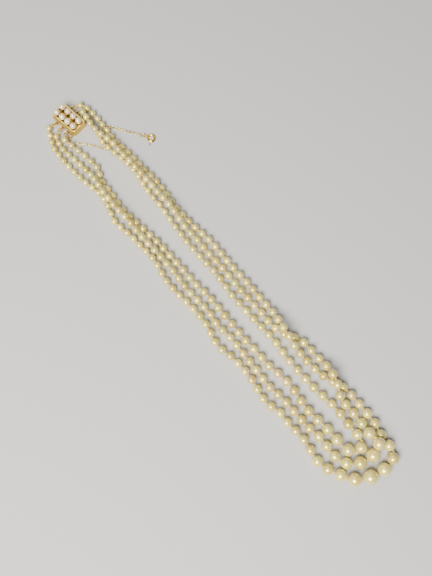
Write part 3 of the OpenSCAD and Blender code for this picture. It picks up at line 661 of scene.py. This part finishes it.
chain_eye = on_clasp([-(box_w / 2 + fit + plate_t) - (chain_eye_r - chain_eye_wire / 2 + fit) - chain_eye_r,
                      -(plate_l / 2 - chain_eye_wire), chain_eye_r + chain_eye_wire / 2 + chain_eye_lift])
start_way = unit(laid(chain_route[0])[0] - chain_eye)
chain_start = chain_eye + start_way * (fit + end_ring_r)
bolt_eye_out = bolt_od / 2 + bolt_eye_r - fit + bolt_eye_r
bolt_eye = np.array([bolt_at[0] + bolt_eye_out * np.cos(bolt_eye_turn),
                     bolt_at[1] + bolt_eye_out * np.sin(bolt_eye_turn),
                     bolt_eye_r + ring_wire / 2 + bolt_eye_lift])
end_way = unit(laid(chain_route[2])[-1] - bolt_eye)
chain_final = bolt_eye + end_way * (2 * jump_r - ring_wire - fit)
chain_line = smooth_line(np.vstack([
    [chain_start], laid(chain_route[0]), passed(2, chain_pass[0]), laid(chain_route[1]),
    passed(0, chain_pass[1]), laid(chain_route[2]), [chain_final]]))


def link_shapes(line):
    """Oval links along a line, each a round wire bent round a stadium and turned a quarter from the last.
    A link holds the next one's end inside its own, so they lie closer than a link's length."""
    steps, sides = 12, 6
    run = lengths(line)
    pitch = link_l - 2 * link_wire
    count = int(run[-1] // pitch)
    places = (np.arange(count) + 0.5) / count * run[-1]
    centres = at(line, run, places)
    centres[:, 2] = np.maximum(centres[:, 2], chain_d / 2)
    directions = unit(at(line, run, places + pitch / 2) - at(line, run, places - pitch / 2))
    level, up = across(directions)
    roll = (np.pi / 4 + np.pi / 2 * (np.arange(count) % 2))[:, None]
    flat = np.cos(roll) * level + np.sin(roll) * up
    normal = np.cross(directions, flat)
    radius = (link_w - link_wire) / 2
    span = link_l - link_w
    outline = stadium(steps, radius, span)
    outline[:, 0] -= span / 2
    path = (centres[:, None] + outline[None, :, :1] * directions[:, None]
            + outline[None, :, 1:] * flat[:, None])
    tangent = unit(np.roll(path, -1, axis=1) - np.roll(path, 1, axis=1))
    outward = np.cross(tangent, normal[:, None])
    turn = np.arange(sides) / sides * 2 * np.pi
    points = (path[:, :, None] + link_wire / 2 * (np.cos(turn)[:, None] * outward[:, :, None]
                                                  + np.sin(turn)[:, None] * normal[:, None, None]))
    return points, repeated(tube_faces(steps, sides, True), count, steps * sides)


def chain_gold():
    """Bright gold of the chain and its rings, dulled in places by wear."""
    material, nodes, links, shader = surface_finish("chain gold", gold_bright, 1.0, 0.2)
    colour = ramp(nodes, links, grain(nodes, links, 600.0),
                  [(0.3, (0.62, 0.42, 0.06)), (0.7, (0.96, 0.74, 0.17))])
    links.new(colour, shader.inputs["Base Color"])
    return material


chain_finish = chain_gold()
chain = smooth_piece("chain_links", *link_shapes(chain_line))
chain.data.materials.append(chain_finish)
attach(chain, "necklace")
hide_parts("safety_chain")
for node in ("chain_end_ring", "jump_ring", "bolt_ring", "bolt_trigger"):
    give(node, chain_finish)


# The necklace lies on a plain pale table, seen from above and a little in front. A large soft lamp
# stands to the left in front, and a weak one behind lightens the shadows.

table_mesh = bpy.data.meshes.new("table")
half = 1.5
table_mesh.from_pydata([(-half, -half, 0), (half, -half, 0), (half, half, 0), (-half, half, 0)],
                       [], [(0, 1, 2, 3)])
table = bpy.data.objects.new("table", table_mesh)
bpy.context.scene.collection.objects.link(table)
table_mesh.materials.append(surface_finish("table", (0.45, 0.44, 0.425), 0.0, 0.75)[0])

look_at = np.array([-4.5, -4.4, 0]) * MM
camera_turn = np.radians(-40)
camera_height = np.radians(77)
camera_far = 305 * MM
ahead = np.array([-np.sin(camera_turn), np.cos(camera_turn), 0])
to_right = np.array([np.cos(camera_turn), np.sin(camera_turn), 0])
camera_at = (look_at - ahead * camera_far * np.cos(camera_height)
             + [0, 0, camera_far * np.sin(camera_height)])


def aim(thing, place, target):
    """Puts a lamp or camera at a place, looking at a target."""
    thing.location = place
    thing.rotation_euler = Vector(target - place).to_track_quat("-Z", "Y").to_euler()


camera = bpy.data.objects.new("camera", bpy.data.cameras.new("camera"))
bpy.context.scene.collection.objects.link(camera)
camera.data.sensor_width = 36
camera.data.lens = 37.5
camera.data.clip_start = 0.01
aim(camera, camera_at, look_at)
bpy.context.scene.camera = camera


def soft_light(name, right, forward, height, size, power, colour):
    """Square lamp so far to the picture's right, ahead and up from the necklace, facing it."""
    lamp = bpy.data.lights.new(name, "AREA")
    lamp.size = size
    lamp.energy = power
    lamp.color = colour
    holder = bpy.data.objects.new(name, lamp)
    bpy.context.scene.collection.objects.link(holder)
    aim(holder, look_at + to_right * right + ahead * forward + [0, 0, height], look_at)


soft_light("window", -0.22, -0.4, 0.68, 0.5, 22.0, (1.0, 0.98, 0.95))
soft_light("ceiling", -0.3, 0.55, 0.8, 0.8, 3.0, (1.0, 0.99, 0.97))
world = bpy.data.worlds.new("studio")
bpy.context.scene.world = world
world.use_nodes = True
room_light = world.node_tree.nodes["Background"]
room_light.inputs["Color"].default_value = (0.9, 0.92, 0.95, 1)
room_light.inputs["Strength"].default_value = 0.12
